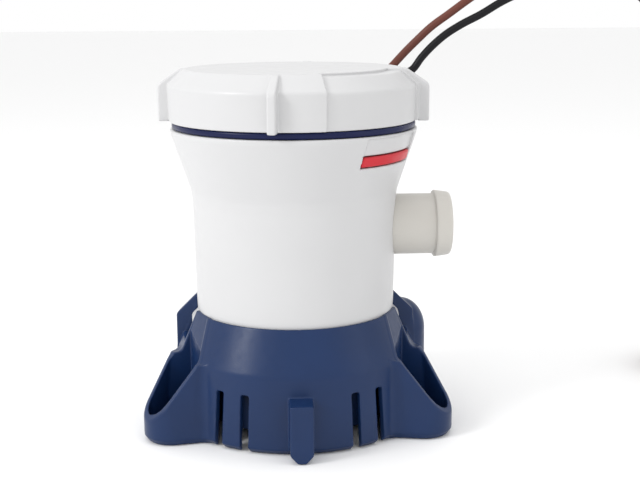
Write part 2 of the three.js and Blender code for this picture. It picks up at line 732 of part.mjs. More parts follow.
const BLACK_ROUTE = [
  [37.2, 31.8, 106.2],
  [41.0, 33.0, 107.5],
  [44.0, 33.0, 111.4],
  [47.6, 32.8, 115.3],
  [52.1, 32.2, 119.2],
  [57.3, 31.4, 122.5],
  [63.4, 30.4, 125.7],
  [70.5, 29.2, 130.0],
  [78.5, 28.0, 133.6],
  [87.0, 26.8, 136.2],
  [96.0, 25.6, 137.2],
  [104.6, 24.4, 136.2],
  [112.2, 23.2, 132.8],
  [118.2, 21.8, 126.8],
  [122.2, 20.4, 118.0],
  [124.4, 18.8, 106.0],
  [125.6, 17.4, 88.0],
  [126.2, 15.4, 64.0],
  [126.8, 12.8, 42.0],
  [127.4, 9.4, 25.0],
  [128.0, 4.8, 14.6],
  [128.5, -0.4, 10.3],
  [128.8, -5.6, 9.5],
];
const BROWN_ROUTE = [
  [35.0, 34.1, 109.4],
  [38.7, 34.5, 113.3],
  [42.7, 34.0, 117.3],
  [47.2, 33.0, 121.6],
  [53.0, 32.0, 125.9],
  [59.4, 31.2, 130.6],
  [66.8, 30.6, 135.4],
  [75.2, 30.2, 139.4],
  [84.6, 30.0, 141.8],
  [94.6, 30.0, 142.0],
  [105.4, 30.2, 140.0],
  [115.0, 30.4, 135.4],
  [122.2, 30.6, 127.8],
  [126.4, 30.6, 118.0],
  [128.6, 30.2, 105.0],
  [129.4, 29.2, 86.0],
  [129.8, 28.0, 62.0],
  [130.2, 27.4, 42.0],
  [130.8, 28.4, 25.0],
  [131.5, 31.6, 14.6],
  [132.0, 36.4, 10.3],
  [132.5, 41.4, 9.5],
];
const COIL_CENTRES = { black: [143, -4], brown: [146.5, 37] };

function coilSolid([x, y]) {
  const half = COIL_BUNDLE / 2;
  const outline = [
    [COIL_R - half, 2],
    [COIL_R - half + 2, 0.05],
    [COIL_R + half - 2, 0.05],
    [COIL_R + half, 2],
    [COIL_R + half, COIL_HEIGHT - 2],
    [COIL_R + half - 2, COIL_HEIGHT],
    [COIL_R - half + 2, COIL_HEIGHT],
    [COIL_R - half, COIL_HEIGHT - 2],
  ];
  return revolve(outline, 24).translate([x, y, 0]);
}

function tipSolid([x, y], side) {
  const geometry = new THREE.CylinderGeometry(TIP_R, TIP_R, 8, 10);
  return solid(geometry.translate(x + COIL_R + 2.8, y - side * 15, LEAD_DIAMETER / 2));
}

// ---------------------------------------------------------------- assembly

addPiece("strainer_base", strainerBase(), NAVY);
addPiece("pump_housing", pumpHousing(), WHITE);
addPiece("outlet_nozzle", outletNozzle(), OUTLET_GREY);
addPiece("lock_tab", lockTab(), RED);
addPiece("lock_tab_spring", lockSpring(), BRIGHT_STEEL);

addPiece("twist_cap", twistCap(), CAP_WHITE);
addPiece("cap_seal_ring", ring(SEAL_R, 33.4, HOUSING_TOP_Z + GAP, CAP_LOW_Z - GAP, ROUND), RING_NAVY);
addPiece("motor_housing", motorHousing(), GREY_PLASTIC);
addPiece("shaft_seal", ring(BUSH_R, 1.8, 33.2, 35.4), RUBBER);
addPiece("lower_bush", ring(BUSH_R, ROTOR_BORE_R, 35.7, 39.4), BRONZE);
addPiece("field_ring", ring(22.2, 20.4, 38, 78, 40), STEEL);
addPiece("magnet_left", magnet(-1), FERRITE);
addPiece("magnet_right", magnet(1), FERRITE);
addPiece("end_bell", endBell(), GREY_PLASTIC);
addPiece("upper_bush", ring(BUSH_R, ROTOR_BORE_R, 85, 88.8), BRONZE);
for (const [name, azimuth] of [["front", 0], ["rear", 180]]) {
  addPiece(`brush_${name}`, radialBox(azimuth, 5.1, 9.6, 3.6, 77.6, 81.2), CARBON);
  addPiece(`brush_arm_${name}`, radialBox(azimuth, 9.9, 10.5, 3.6, 76.6, 83.7), COPPER);
}
addPiece("lead_gland", leadGland(), RUBBER);

addPiece("motor_shaft", ring(SHAFT_R, 0, 24.4, 90.6, 20), BRIGHT_STEEL);
addPiece("armature_core", armatureCore(), STEEL);
addPiece("armature_winding", armatureWinding(), COPPER);
addPiece("commutator", ring(4.8, ROTOR_BORE_R, 75.4, 82.6, 24), COPPER);
addPiece("impeller", impeller(), RING_NAVY);

const leads = [
  { name: "lead_black", side: -1, route: BLACK_ROUTE, centre: COIL_CENTRES.black, finish: BLACK_PVC },
  { name: "lead_brown", side: 1, route: BROWN_ROUTE, centre: COIL_CENTRES.brown, finish: BROWN_PVC },
];
for (const { name, side, route, centre, finish } of leads) {
  const straight = [-2.4, 0.5, 4, 8].map((along) => inGland(side, along));
  addPiece(name, tube([...straight, ...route], LEAD_DIAMETER, 50, 8), finish);
  addPiece(`${name}_coil`, coilSolid(centre), finish);
  addPiece(`${name}_tip`, tipSolid(centre, side), TINNED);
}

export default assembly;
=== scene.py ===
"""Looks of a cartridge bilge pump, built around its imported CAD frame.

The moulded pieces are modelled as signed distance fields in millimetres, in the part's own
frame, and each field is turned into a mesh whose normals come from the field, so that every
edge has the small soft radius of an injection moulding. An azimuth is measured from the
front, -Y, towards +X. Along and across an ear are called s and t.
"""

import math

import bpy
import numpy as np
from mathutils import Matrix, Vector


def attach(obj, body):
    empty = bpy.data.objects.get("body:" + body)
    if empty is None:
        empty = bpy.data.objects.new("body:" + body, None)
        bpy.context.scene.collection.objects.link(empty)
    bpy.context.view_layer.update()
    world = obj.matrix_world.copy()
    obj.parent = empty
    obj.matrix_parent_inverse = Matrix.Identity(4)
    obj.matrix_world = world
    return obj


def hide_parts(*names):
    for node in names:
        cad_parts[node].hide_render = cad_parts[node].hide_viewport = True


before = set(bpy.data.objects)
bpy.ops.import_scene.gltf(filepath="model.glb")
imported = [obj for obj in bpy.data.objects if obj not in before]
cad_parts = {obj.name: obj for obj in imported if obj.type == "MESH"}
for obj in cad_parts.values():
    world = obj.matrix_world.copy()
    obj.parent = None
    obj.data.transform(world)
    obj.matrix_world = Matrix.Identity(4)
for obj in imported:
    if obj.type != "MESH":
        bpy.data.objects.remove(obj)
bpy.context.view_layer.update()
MM = 0.001

# ---------------------------------------------------------------- camera

CAMERA_PLACE = (-12.757, -376.33, 133.44)
CAMERA_HEADING = 0.05495
CAMERA_PITCH = 0.201295
CAMERA_ROLL = -0.00565209
CAMERA_LENS = 68.554


def add_camera():
    """Camera at the photograph's viewing angle."""
    cos_h, sin_h = math.cos(CAMERA_HEADING), math.sin(CAMERA_HEADING)
    cos_p, sin_p = math.cos(CAMERA_PITCH), math.sin(CAMERA_PITCH)
    forward = Vector((sin_h * cos_p, cos_h * cos_p, -sin_p))
    level = Vector((cos_h, -sin_h, 0))
    upright = level.cross(forward)
    cos_r, sin_r = math.cos(CAMERA_ROLL), math.sin(CAMERA_ROLL)
    right = cos_r * level + sin_r * upright
    up = cos_r * upright - sin_r * level
    data = bpy.data.cameras.new("camera")
    data.lens = CAMERA_LENS
    data.sensor_width = 36
    camera = bpy.data.objects.new("camera", data)
    axes = Matrix((right, up, -forward)).transposed().to_4x4()
    camera.matrix_world = Matrix.Translation(Vector(CAMERA_PLACE) * MM) @ axes
    bpy.context.scene.collection.objects.link(camera)
    bpy.context.scene.camera = camera


add_camera()

# ---------------------------------------------------------------- materials


def new_material(name, color, roughness, metallic=0.0):
    """Material with one Principled shader; returns it with its nodes, links and shader."""
    material = bpy.data.materials.new(name)
    material.use_nodes = True
    nodes, links = material.node_tree.nodes, material.node_tree.links
    shader = nodes["Principled BSDF"]
    shader.inputs["Base Color"].default_value = (*color, 1)
    shader.inputs["Roughness"].default_value = roughness
    shader.inputs["Metallic"].default_value = metallic
    return material, nodes, links, shader


def add_noise(nodes, links, scale, detail, stretch=(1, 1, 1)):
    """Noise in object space, in metres, drawn out along an axis by stretch."""
    place = nodes.new("ShaderNodeTexCoord")
    mapping = nodes.new("ShaderNodeMapping")
    mapping.inputs["Scale"].default_value = stretch
    noise = nodes.new("ShaderNodeTexNoise")
    noise.inputs["Scale"].default_value = scale
    noise.inputs["Detail"].default_value = detail
    links.new(place.outputs["Object"], mapping.inputs["Vector"])
    links.new(mapping.outputs["Vector"], noise.inputs["Vector"])
    return noise


def add_range(nodes, links, source, low, high):
    """Value that runs from low to high over the middle range of a noise."""
    node = nodes.new("ShaderNodeMapRange")
    node.inputs["From Min"].default_value = 0.3
    node.inputs["From Max"].default_value = 0.7
    node.inputs["To Min"].default_value = low
    node.inputs["To Max"].default_value = high
    links.new(source, node.inputs["Value"])
    return node.outputs["Result"]


CLOUD_SCALE = 45
GLOSS_SCALE = 320
GRAIN_SCALE = 2600
GRAIN_DEPTH = 0.00006
MARK_DEPTH = 0.00005


def moulded(name, color, roughness, grain, mottle, specular=0.5):
    """Injection moulded plastic: a fine spark-eroded grain, slight cloudiness and uneven gloss."""
    material, nodes, links, shader = new_material(name, color, roughness)
    shader.inputs["Specular IOR Level"].default_value = specular
    cloud = add_noise(nodes, links, CLOUD_SCALE, 4)
    shade = add_range(nodes, links, cloud.outputs["Fac"], 1 - mottle, 1 + mottle)
    tint = nodes.new("ShaderNodeVectorMath")
    tint.operation = "SCALE"
    tint.inputs[0].default_value = color
    links.new(shade, tint.inputs["Scale"])
    links.new(tint.outputs["Vector"], shader.inputs["Base Color"])
    gloss = add_noise(nodes, links, GLOSS_SCALE, 4)
    uneven = add_range(nodes, links, gloss.outputs["Fac"], roughness - 0.05, roughness + 0.07)
    links.new(uneven, shader.inputs["Roughness"])
    fine = add_noise(nodes, links, GRAIN_SCALE, 2)
    bump = nodes.new("ShaderNodeBump")
    bump.inputs["Strength"].default_value = grain
    bump.inputs["Distance"].default_value = GRAIN_DEPTH
    links.new(fine.outputs["Fac"], bump.inputs["Height"])
    links.new(bump.outputs["Normal"], shader.inputs["Normal"])
    return material


def metal(name, color, roughness, stretch=(1, 1, 1), scale=900, grain=0.15):
    """Metal with fine machining marks."""
    material, nodes, links, shader = new_material(name, color, roughness, metallic=1.0)
    marks = add_noise(nodes, links, scale, 3, stretch)
    uneven = add_range(nodes, links, marks.outputs["Fac"], roughness - 0.07, roughness + 0.1)
    links.new(uneven, shader.inputs["Roughness"])
    bump = nodes.new("ShaderNodeBump")
    bump.inputs["Strength"].default_value = grain
    bump.inputs["Distance"].default_value = MARK_DEPTH
    links.new(marks.outputs["Fac"], bump.inputs["Height"])
    links.new(bump.outputs["Normal"], shader.inputs["Normal"])
    return material


FINISHES = {
    "navy_plastic": moulded("navy_plastic", (0.0075, 0.025, 0.086), 0.34, 0.3, 0.08, 0.28),
    "white_plastic": moulded("white_plastic", (0.575, 0.575, 0.58), 0.36, 0.15, 0.012),
    "cap_plastic": moulded("cap_plastic", (0.575, 0.575, 0.58), 0.4, 0.2, 0.012),
    # the outlet is the same white plastic as the housing; this darker, warmer copy of it is
    # painted shade
    "outlet_plastic": moulded("outlet_plastic", (0.57, 0.55, 0.51), 0.42, 0.2, 0.02),
    "red_plastic": moulded("red_plastic", (0.56, 0.03, 0.042), 0.34, 0.15, 0.05, 0.2),
    "impeller_plastic": moulded("impeller_plastic", (0.02, 0.03, 0.08), 0.35, 0.2, 0.05),
    "grey_plastic": moulded("grey_plastic", (0.24, 0.25, 0.27), 0.5, 0.3, 0.05),
    "seal_rubber": moulded("seal_rubber", (0.006, 0.010, 0.055), 0.3, 0.1, 0.05, 0.2),
    "black_rubber": moulded("black_rubber", (0.012, 0.012, 0.013), 0.55, 0.4, 0.1),
    "black_insulation": moulded("black_insulation", (0.007, 0.007, 0.009), 0.38, 0.15, 0.08, 0.2),
    "brown_insulation": moulded("brown_insulation", (0.125, 0.038, 0.026), 0.4, 0.15, 0.08, 0.25),
    "ferrite": moulded("ferrite", (0.04, 0.04, 0.043), 0.6, 0.6, 0.1),
    "carbon": moulded("carbon", (0.02, 0.02, 0.021), 0.65, 0.8, 0.15),
    "steel": metal("steel", (0.45, 0.45, 0.46), 0.38, (1, 1, 12)),
    "spring_steel": metal("spring_steel", (0.6, 0.6, 0.62), 0.25),
    "bronze": metal("bronze", (0.42, 0.26, 0.1), 0.45, (1, 1, 1), 1500, 0.4),
    "copper": metal("copper", (0.62, 0.25, 0.12), 0.32, (1, 1, 10)),
    "tinned_copper": metal("tinned_copper", (0.62, 0.62, 0.64), 0.3, (1, 10, 1)),
}


def finish_with(obj, slot, body, *nodes):
    """Gives a new piece its finish and its body, and hides the CAD nodes that it stands for."""
    obj.data.materials.clear()
    obj.data.materials.append(FINISHES[slot])
    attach(obj, body)
    if nodes:
        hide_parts(*nodes)
    return obj


# ---------------------------------------------------------------- leads

LEAD_DIAMETER = 2.6
GLAND_AZIMUTH = math.radians(134)
GLAND_TILT = math.radians(35)
GLAND_R = 38.4
GLAND_Z = 100.8
LEAD_OFFSET = 1.98
COIL_R = 14.3
COIL_TURNS = 7.5
COIL_SLOTS = [(0, 3), (1, 3), (1, 2), (0, 2), (-1, 2), (-1, 1), (0, 1), (1, 1)]
STEPS_A_TURN = 24
SHIFT_FROM = 0.72
TURN_PITCH = 2.62
ENTRY_RISE = 1.6
TAIL_STEP = 3.5
TAIL_OUT = 2.8
TAIL_END = 15.2
TIP_LENGTH = 8.0
STRAND_R = 0.27
STRAND_SIDES = 8
STRAND_STEPS = 14
STRAND_TWIST = 1.4

BLACK_ROUTE = [
    (37.2, 31.8, 106.2), (41.0, 33.0, 107.5), (44.0, 33.0, 111.4), (47.6, 32.8, 115.3),
    (52.1, 32.2, 119.2), (57.3, 31.4, 122.5), (63.4, 30.4, 125.7), (70.5, 29.2, 130.0),
    (78.5, 28.0, 133.6), (87.0, 26.8, 136.2), (96.0, 25.6, 137.2), (104.6, 24.4, 136.2),
    (112.2, 23.2, 132.8), (118.2, 21.8, 126.8), (122.2, 20.4, 118.0), (124.4, 18.8, 106.0),
    (125.6, 17.4, 88.0), (126.2, 15.4, 64.0), (126.8, 12.8, 42.0), (127.4, 9.4, 25.0),
    (128.0, 4.8, 14.6), (128.5, -0.4, 10.3),
]
BROWN_ROUTE = [
    (35.0, 34.1, 109.4), (38.7, 34.5, 113.3), (42.7, 34.0, 117.3), (47.2, 33.0, 121.6),
    (53.0, 32.0, 125.9), (59.4, 31.2, 130.6), (66.8, 30.6, 135.4), (75.2, 30.2, 139.4),
    (84.6, 30.0, 141.8), (94.6, 30.0, 142.0), (105.4, 30.2, 140.0), (115.0, 30.4, 135.4),
    (122.2, 30.6, 127.8), (126.4, 30.6, 118.0), (128.6, 30.2, 105.0), (129.4, 29.2, 86.0),
    (129.8, 28.0, 62.0), (130.2, 27.4, 42.0), (130.8, 28.4, 25.0), (131.5, 31.6, 14.6),
    (132.0, 36.4, 10.3),
]


def in_gland(side, along):
    """Point on a lead's straight stretch through the gland."""
    radius = GLAND_R + along * math.cos(GLAND_TILT)
    out = (math.sin(GLAND_AZIMUTH), -math.cos(GLAND_AZIMUTH))
    across = side * LEAD_OFFSET
    height = GLAND_Z + along * math.sin(GLAND_TILT)
    return (radius * out[0] - across * out[1], radius * out[1] + across * out[0], height)


def coil_points(centre, side):
    """A lead's turns. It comes in on top of the coil and moves from slot to slot, a column
    and a layer each, down to the floor. side is 1 for a coil wound clockwise, else -1."""
    points = []
    for i in range(2, int(COIL_TURNS * STEPS_A_TURN) + 1):
        turn = i / STEPS_A_TURN
        index = min(int(turn), len(COIL_SLOTS) - 2)
        move = min(max((turn - index - SHIFT_FROM) / (1 - SHIFT_FROM), 0), 1)
        move = move * move * (3 - 2 * move)
        slot_in, slot_out = COIL_SLOTS[index], COIL_SLOTS[index + 1]
        column = slot_in[0] + (slot_out[0] - slot_in[0]) * move
        layer = slot_in[1] + (slot_out[1] - slot_in[1]) * move
        radius = COIL_R + column * TURN_PITCH
        height = LEAD_DIAMETER / 2 + (layer - 1) * TURN_PITCH
        if turn < 0.5:
            height += ENTRY_RISE * (1 - turn / 0.5) ** 2
        angle = math.pi - side * 2 * math.pi * turn
        x = centre[0] + radius * math.cos(angle)
        y = centre[1] + radius * math.sin(angle)
        points.append((x, y, height))
    return points


def smooth_path(points, spacing=1.2):
    """Points about evenly spaced along a centripetal curve through the given points."""
    p = [np.array(q, float) for q in points]
    p = [2 * p[0] - p[1], *p, 2 * p[-1] - p[-2]]
    path = []
    for a, b, c, d in zip(p, p[1:], p[2:], p[3:]):
        t1 = np.linalg.norm(b - a) ** 0.5
        t2 = t1 + np.linalg.norm(c - b) ** 0.5
        t3 = t2 + np.linalg.norm(d - c) ** 0.5
        count = max(2, round(np.linalg.norm(c - b) / spacing))
        for t in np.linspace(t1, t2, count, endpoint=False):
            ab = a * (t1 - t) / t1 + b * t / t1
            bc = b * (t2 - t) / (t2 - t1) + c * (t - t1) / (t2 - t1)
            cd = c * (t3 - t) / (t3 - t2) + d * (t - t2) / (t3 - t2)
            abc = ab * (t2 - t) / t2 + bc * t / t2
            bcd = bc * (t3 - t) / (t3 - t1) + cd * (t - t1) / (t3 - t1)
            path.append(abc * (t2 - t) / (t2 - t1) + bcd * (t - t1) / (t2 - t1))
    path.append(p[-2])
    return np.array(path)


def add_curve(name, path, radius):
    """Round tube of one open spline along a path in millimetres."""
    data = bpy.data.curves.new(name, "CURVE")
    data.dimensions = "3D"
    data.bevel_depth = radius * MM
    data.bevel_resolution = 8
    data.use_fill_caps = True
    spline = data.splines.new("POLY")
    spline.points.add(len(path) - 1)
    spline.points.foreach_set("co", np.c_[path * MM, np.ones(len(path))].ravel())
    spline.use_smooth = True
    obj = bpy.data.objects.new(name, data)
    bpy.context.scene.collection.objects.link(obj)
    return obj


def add_mesh(name, vertices, faces):
    """Smooth-shaded mesh from vertices in millimetres."""
    data = bpy.data.meshes.new(name)
    data.from_pydata((np.asarray(vertices, float) * MM).tolist(), [], [list(f) for f in faces])
    data.polygons.foreach_set("use_smooth", [True] * len(data.polygons))
    data.update()
    obj = bpy.data.objects.new(name, data)
    bpy.context.scene.collection.objects.link(obj)
    return obj


def add_strands(name, start, direction):
    """Bared end of a lead: seven tinned strands with a gentle twist."""
    vertices, faces = [], []
    sides, steps = STRAND_SIDES, STRAND_STEPS
    for strand in range(7):
        ring_r = 0 if strand == 0 else 2 * STRAND_R
        for i in range(steps + 1):
            along = TIP_LENGTH * i / steps
            angle = strand * math.pi / 3 + STRAND_TWIST * i / steps
            for j in range(sides):
                around = 2 * math.pi * j / sides
                x = ring_r * math.cos(angle) + STRAND_R * math.cos(around)
                z = ring_r * math.sin(angle) + STRAND_R * math.sin(around)
                vertices.append((start[0] + x, start[1] + direction * along, start[2] + z))
        first = strand * (steps + 1) * sides
        for i in range(steps):
            for j in range(sides):
                a, b = first + i * sides + j, first + i * sides + (j + 1) % sides
                quad = (a, b, b + sides, a + sides)
                faces.append(quad if direction < 0 else quad[::-1])
        low = tuple(range(first, first + sides))
        high = tuple(range(first + steps * sides, first + (steps + 1) * sides))
        faces += [low[::-1], high] if direction < 0 else [low, high[::-1]]
    return add_mesh(name, vertices, faces)


def add_lead(colour, side, route, centre):
    """One lead, from inside the gland to its bared tip at the coil, with other pieces on it."""
    straight = [in_gland(side, along) for along in (-2.4, 0.5, 4, 8)]
    coil = coil_points(centre, side)
    tail_x = centre[0] + COIL_R + TAIL_OUT
    end_y = centre[1] - side * (TAIL_END - TIP_LENGTH / 2)
    floor_z = LEAD_DIAMETER / 2
    tail = [(tail_x, centre[1] - side * TAIL_STEP * i, floor_z) for i in (1, 2)]
    path = smooth_path([*straight, *route, *coil, *tail, (tail_x, end_y, floor_z)])
    lead = add_curve(f"lead_{colour}_cord", path, LEAD_DIAMETER / 2)
    finish_with(lead, f"{colour}_insulation", "cartridge", f"lead_{colour}", f"lead_{colour}_coil")
    tip = add_strands(f"lead_{colour}_strands", (tail_x, end_y, floor_z), -side)
    finish_with(tip, "tinned_copper", "cartridge", f"lead_{colour}_tip")


# ---------------------------------------------------------------- distance fields


def smin(a, b, k):
    """Smaller of two distances, with a fillet of about k."""
    h = np.clip(0.5 + 0.5 * (b - a) / k, 0, 1)
    return b + (a - b) * h - k * h * (1 - h)


def smax(a, b, k):
    """Larger of two distances, with a rounded edge of about k."""
    return -smin(-a, -b, k)


def sector(x, y, azimuth):
    """Distance past the half-plane that stands at an azimuth: positive further round."""
    a = math.radians(azimuth)
    return x * math.cos(a) + y * math.sin(a)


def outward(x, y, azimuth):
    """Distance out along an azimuth."""
    a = math.radians(azimuth)
    return x * math.sin(a) - y * math.cos(a)


def block(x, y, azimuth, low_r, high_r, half_width):
    """Plan distance of a strip that runs out along an azimuth."""
    out = outward(x, y, azimuth)
    across = np.abs(sector(x, y, azimuth)) - half_width
    return np.maximum(np.maximum(low_r - out, out - high_r), across)


def net(field, low, high, cell):
    """Closed surface of a field by surface nets, as vertices and quads."""
    low, high = np.array(low, float), np.array(high, float)
    counts = np.ceil((high - low) / cell).astype(int) + 1
    axes = [
        np.float32(low[i]) + np.float32(cell) * np.arange(counts[i], dtype=np.float32)
        for i in range(3)
    ]
    x, y, z = np.meshgrid(*axes, indexing="ij", sparse=True)
    x, y, z = (np.ascontiguousarray(np.broadcast_to(v, counts)) for v in (x, y, z))
    d = field(x, y, z).astype(np.float32)
    del x, y, z
    inside = d < 0
    nx, ny, nz = counts
    total = np.zeros((nx - 1, ny - 1, nz - 1), np.int8)
    for i in (0, 1):
        for j in (0, 1):
            for k in (0, 1):
                total += inside[i : nx - 1 + i, j : ny - 1 + j, k : nz - 1 + k]
    active = (total > 0) & (total < 8)
    cells = np.argwhere(active)
    number = np.full(total.shape, -1, np.int64)
    number[active] = np.arange(len(cells))
    place = np.zeros((len(cells), 3))
    hits = np.zeros(len(cells))
    offsets = [np.array(o) for o in np.ndindex(2, 2, 2)]
    for a in offsets:
        for axis in range(3):
            if a[axis]:
                continue
            b = a.copy()
            b[axis] = 1
            da = d[tuple((cells + a).T)]
            db = d[tuple((cells + b).T)]
            cross = (da < 0) != (db < 0)
            share = np.where(cross, da / np.where(cross, da - db, 1), 0)
            point = a + share[:, None] * (b - a)
            place += np.where(cross[:, None], point, 0)
            hits += cross
    vertices = low + cell * (cells + place / hits[:, None])
    quads = []
    for axis in range(3):
        u, v = (axis + 1) % 3, (axis + 2) % 3
        near = [slice(None)] * 3
        far = [slice(None)] * 3
        near[axis], far[axis] = slice(0, -1), slice(1, None)
        change = inside[tuple(near)] != inside[tuple(far)]
        at = np.argwhere(change)
        at = at[(at[:, u] > 0) & (at[:, u] < counts[u] - 1)]
        at = at[(at[:, v] > 0) & (at[:, v] < counts[v] - 1)]
        out = inside[tuple(near)][tuple(at.T)]
        step_u, step_v = np.zeros(3, int), np.zeros(3, int)
        step_u[u], step_v[v] = 1, 1
        corner = [number[tuple((at - o).T)] for o in (step_u + step_v, step_v, 0 * step_u, step_u)]
        face = np.stack(corner, 1)
        quads.append(np.where(out[:, None], face, face[:, ::-1]))
    return vertices, np.concatenate(quads)


def gradient(field, points, h):
    """Gradient of a field at points, by central differences of half-width h."""
    slope = np.zeros_like(points)
    for axis in range(3):
        step = np.zeros(3)
        step[axis] = h
        ahead, behind = points + step, points - step
        slope[:, axis] = (field(*ahead.T) - field(*behind.T)) / (2 * h)
    return slope


def drawn_in(field, vertices, cell):
    """Vertices moved onto the zero surface of a field, in small steps."""
    for _ in range(3):
        slope = gradient(field, vertices, 0.02)
        steepness = np.maximum((slope**2).sum(1), 0.25)
        move = -(field(*vertices.T) / steepness)[:, None] * slope
        reach = np.maximum(np.linalg.norm(move, axis=1), 1e-9)
        vertices = vertices + move * np.minimum(1, 0.45 * cell / reach)[:, None]
    return vertices


def thin_out(obj, keep):
    """Leaves a share of an object's faces, the flat areas losing most."""
    obj.modifiers.new("thin", "DECIMATE").ratio = keep
    graph = bpy.context.evaluated_depsgraph_get()
    data = bpy.data.meshes.new_from_object(obj.evaluated_get(graph))
    obj.modifiers.clear()
    old, obj.data = obj.data, data
    bpy.data.meshes.remove(old)
    data.name = obj.name


def add_moulding(name, field, low, high, cell, soft, keep):
    """Mesh of a field: the net's points are drawn onto the surface, flat areas are thinned,
    and the normals are the field's own, smoothed over an edge by soft."""
    vertices, quads = net(field, low, high, cell)
    obj = add_mesh(name, drawn_in(field, vertices, cell), quads)
    thin_out(obj, keep)
    data = obj.data
    points = np.zeros(len(data.vertices) * 3)
    data.vertices.foreach_get("co", points)
    normals = gradient(field, points.reshape(-1, 3) / MM, soft)
    normals /= np.maximum(np.linalg.norm(normals, axis=1), 1e-9)[:, None]
    data.polygons.foreach_set("use_smooth", [True] * len(data.polygons))
    data.normals_split_custom_set_from_vertices(normals.tolist())
    return obj


# ---------------------------------------------------------------- strainer base

WALL_BOTTOM_R = 39.2
WALL_TOP_R = 37.4
WALL_TOP_Z = 22.9
COLLAR_R = 31.7
COLLAR_TOP_Z = 36.1
COLLAR_BORE_R = 31.0
SHROUD_R = 38.1
SHROUD_SHOULDER_Z = 32.8
SHROUD_TOP_Z = 39.2
BASE_WALL = 2.0
FOOT_CHAMFER = 1.6
SHROUD_FROM = 94
NOTCH_FROM = 78
NOTCH_FLOOR_Z = 27
SLOT_AZIMUTHS = (25.7, 38.9, 101.2, 114.4, 127.6, 140.8)
SLOT_HALF_WIDTH = 1.3
SLOT_TOP_Z = 17.2
EAR_AZIMUTH = 62
EAR_REACH = 52.2
EAR_WALL = 1.5
EAR_FLOOR = 3.4
EAR_ROOT_Z = 23.5
SCREW_REACH = 44.2
SCREW_HOLE_R = 2.5
TAB_HALF_WIDTH = 3.45
TAB_REACH = 46.0
TAB_TOP_Z = 17.2
CLIP_AZIMUTH = 105.5
CLIP_REACH = 36.0
CLIP_R = 8.0
CLIP_DOME_Z = 25
CLIP_DOME_HEIGHT = 9.9
CLIP_WALL = 1.7
SKIRT_R = 28.8
SKIRT_WALL = 1.4
SKIRT_LOW_Z = 3.0
SKIRT_HIGH_Z = 19.7
WEB_LOW_Z = 11.0
WEB_AZIMUTHS = (0, 90, 150, 210, 270)
FAR_AWAY = 99.0

# plan normals (s, t) of an ear's two sides, their offsets at the foot, and their lean inwards
NEAR_SIDE = (0.287, -0.958)
NEAR_OFFSET = 21.03
NEAR_LEAN = 0.12
FAR_SIDE = (0.488, 0.873)
FAR_OFFSET = 30.1
FAR_LEAN = 0.044
TIP_R = 8.73
TIP_TAPER = 0.129
TIP_T = 0.18
TIP_T_LEAN = 0.028
RIM_S = 38.6
RIM_Z = 23.2
RIM_SLOPE = 1.2
RIM_SIZE = 1.562


def through(a, b):
    """Unit normal and offset of the plan line through two points, pointing left of a to b."""
    (ax, ay), (bx, by) = a, b
    size = math.hypot(bx - ax, by - ay)
    normal = (-(by - ay) / size, (bx - ax) / size)
    return normal, normal[0] * ax + normal[1] * ay


def ear_side(s, t, z):
    """Plan distance of an ear's outer wall, which leans inwards with the height z."""
    near = NEAR_SIDE[0] * s + NEAR_SIDE[1] * t - NEAR_OFFSET + NEAR_LEAN * z
    far = FAR_SIDE[0] * s + FAR_SIDE[1] * t - FAR_OFFSET + FAR_LEAN * z
    tip_r = TIP_R - TIP_TAPER * z
    u, v = s - (EAR_REACH - tip_r), t - (TIP_T + TIP_T_LEAN * z)
    beyond_near = NEAR_SIDE[0] * v - NEAR_SIDE[1] * u > 0
    beyond = beyond_near & (FAR_SIDE[1] * u - FAR_SIDE[0] * v > 0)
    return np.where(beyond, np.hypot(u, v) - tip_r, np.maximum(near, far))


def ear_rim(s, z):
    """Distance above the sloping rim of an ear."""
    return (z - RIM_Z + RIM_SLOPE * (s - RIM_S)) / RIM_SIZE


POCKET_APEX = (33.03, 8.05, 30.7)
POCKET_SHOULDER = (33.9, -2.65, 30.5)
POCKET_CORNER = (35.4, -3.66, 26.9)
POCKET_FAR = (38.4, 9.2)


def ear_pocket(s, t, z, side):
    """Distance field of an ear's pocket, which runs in through the cone of the base."""
    n_in, d_in = through(POCKET_CORNER[:2], POCKET_APEX[:2])
    n_near, d_near = through(POCKET_SHOULDER[:2], POCKET_CORNER[:2])
    n_far, d_far = through(POCKET_APEX[:2], POCKET_FAR)
    inner = n_in[0] * s + n_in[1] * t - d_in
    near = -(n_near[0] * s + n_near[1] * t - d_near)
    far = n_far[0] * s + n_far[1] * t - d_far
    a, b, c = (np.array(p) for p in (POCKET_APEX, POCKET_SHOULDER, POCKET_CORNER))
    facet = np.cross(b - a, c - a)
    facet /= np.linalg.norm(facet)
    above = -(facet[0] * s + facet[1] * t + facet[2] * z - facet @ a)
    sides = smax(smax(near, far, 0.5), side + EAR_WALL, 0.4)
    return smax(smax(np.minimum(inner, above), sides, 0.4), EAR_FLOOR - z, 0.8)


